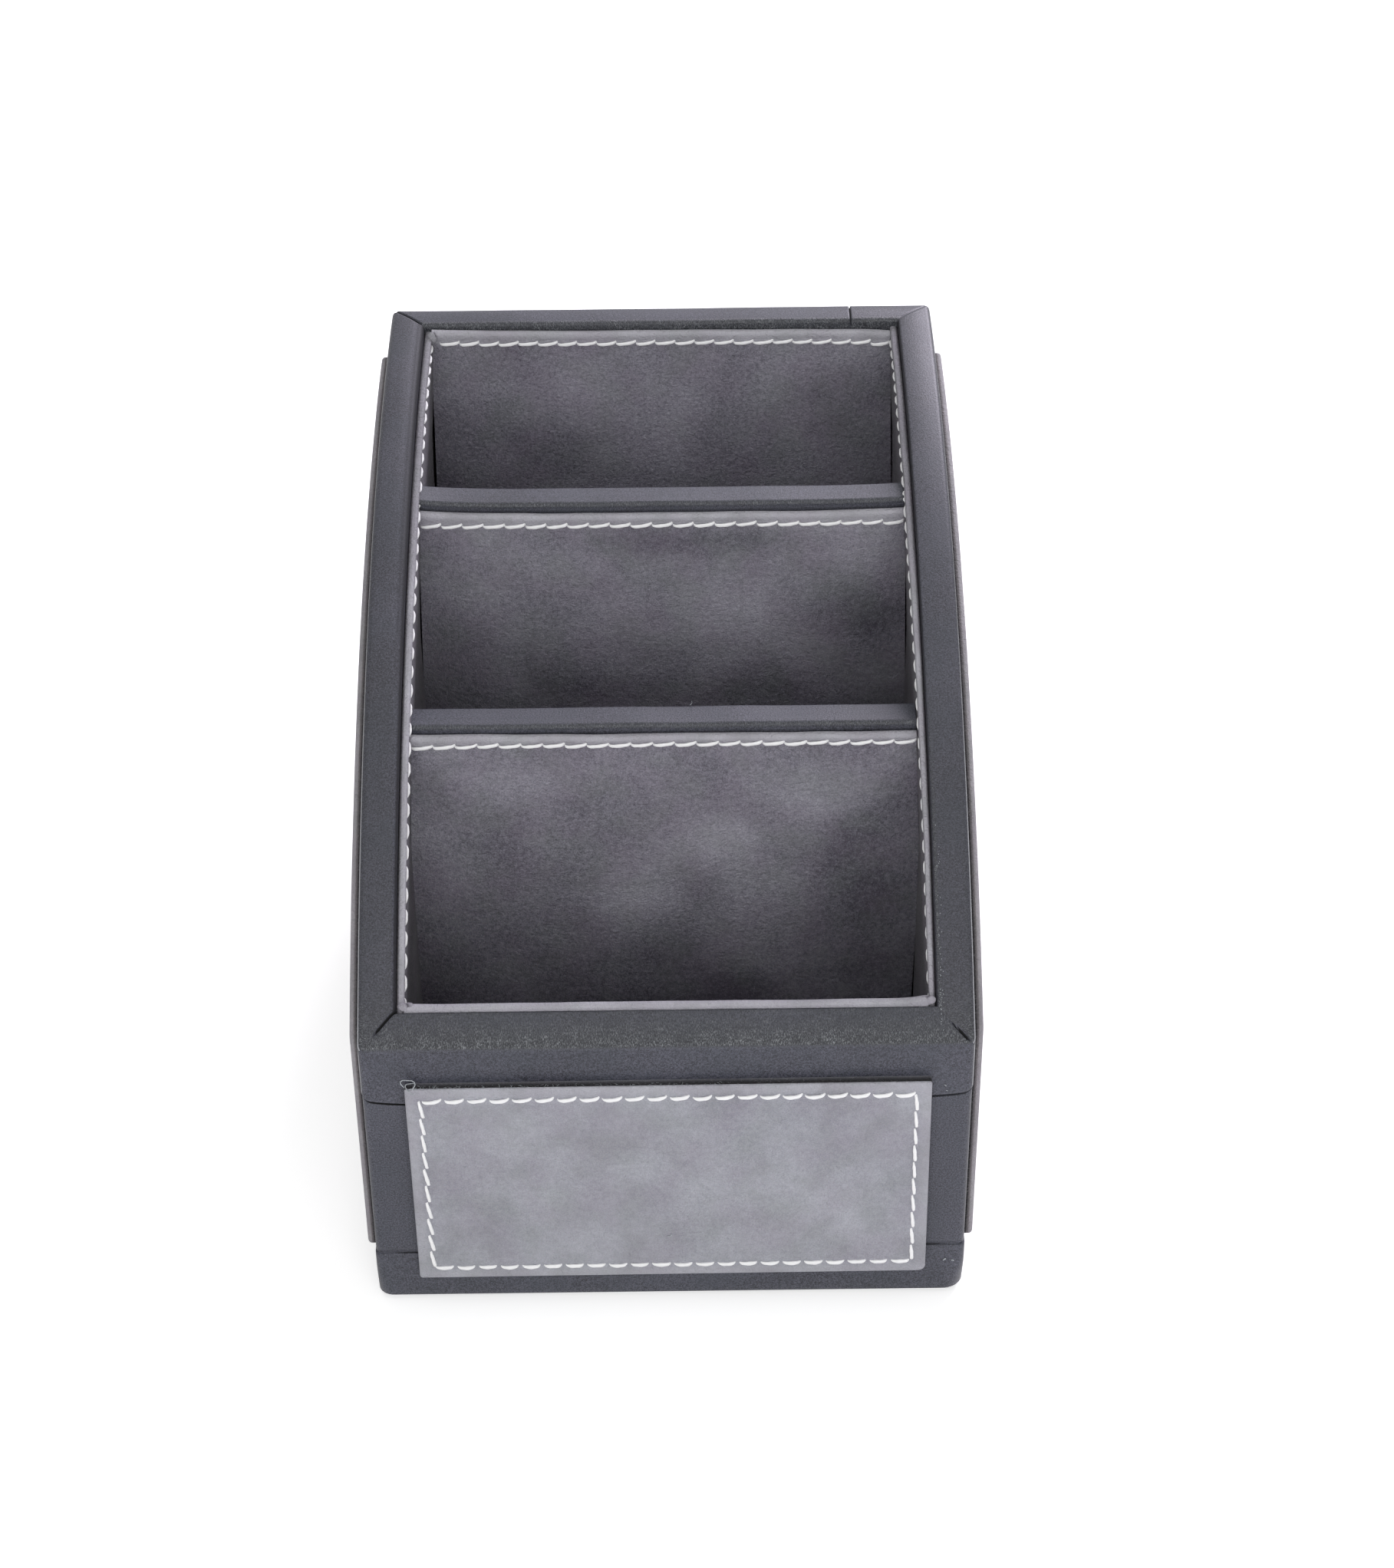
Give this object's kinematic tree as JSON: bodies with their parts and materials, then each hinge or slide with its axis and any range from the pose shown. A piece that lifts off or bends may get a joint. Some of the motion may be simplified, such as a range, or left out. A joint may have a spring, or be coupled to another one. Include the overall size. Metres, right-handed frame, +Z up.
{
  "type": "remote control holder",
  "caption": "Stepped desk box with open compartments behind one another and an arched top edge, for standing remote controls upright.",
  "frame": {"origin": "centre of the footprint on the surface it stands on", "axes": "+Z up, +Y towards the tall back board, the low front faces -Y"},
  "size_m": [0.1094, 0.1522, 0.1208],
  "materials": {
    "leatherette": "smooth black leatherette wrap",
    "nubuck": "matt grey nubuck with a cloudy nap",
    "thread": "white topstitching thread",
    "felt": "black felt",
    "base_card": "black faced board"
  },
  "bodies": {
    "root": {"front_board": "leatherette", "back_board": "leatherette", "left_side_board": "leatherette", "right_side_board": "leatherette", "rear_divider": "leatherette", "front_divider": "leatherette", "base_board": "base_card", "base_felt": "felt", "left_lining": "nubuck", "right_lining": "nubuck", "back_lining": "nubuck", "rear_divider_back_lining": "nubuck", "rear_divider_front_lining": "nubuck", "front_divider_back_lining": "nubuck", "front_divider_front_lining": "nubuck", "front_lining": "nubuck", "front_floor": "nubuck", "middle_floor": "nubuck", "rear_floor": "nubuck", "front_panel": "nubuck", "left_outer_panel": "nubuck", "right_outer_panel": "nubuck", "front_panel_stitching": "thread", "left_outer_panel_stitching": "thread", "right_outer_panel_stitching": "thread", "left_lining_stitching": "thread", "right_lining_stitching": "thread", "back_lining_stitching": "thread", "rear_divider_back_lining_stitching": "thread", "rear_divider_front_lining_stitching": "thread", "front_divider_back_lining_stitching": "thread", "front_divider_front_lining_stitching": "thread", "front_lining_stitching": "thread"}
  },
  "joints": []
}
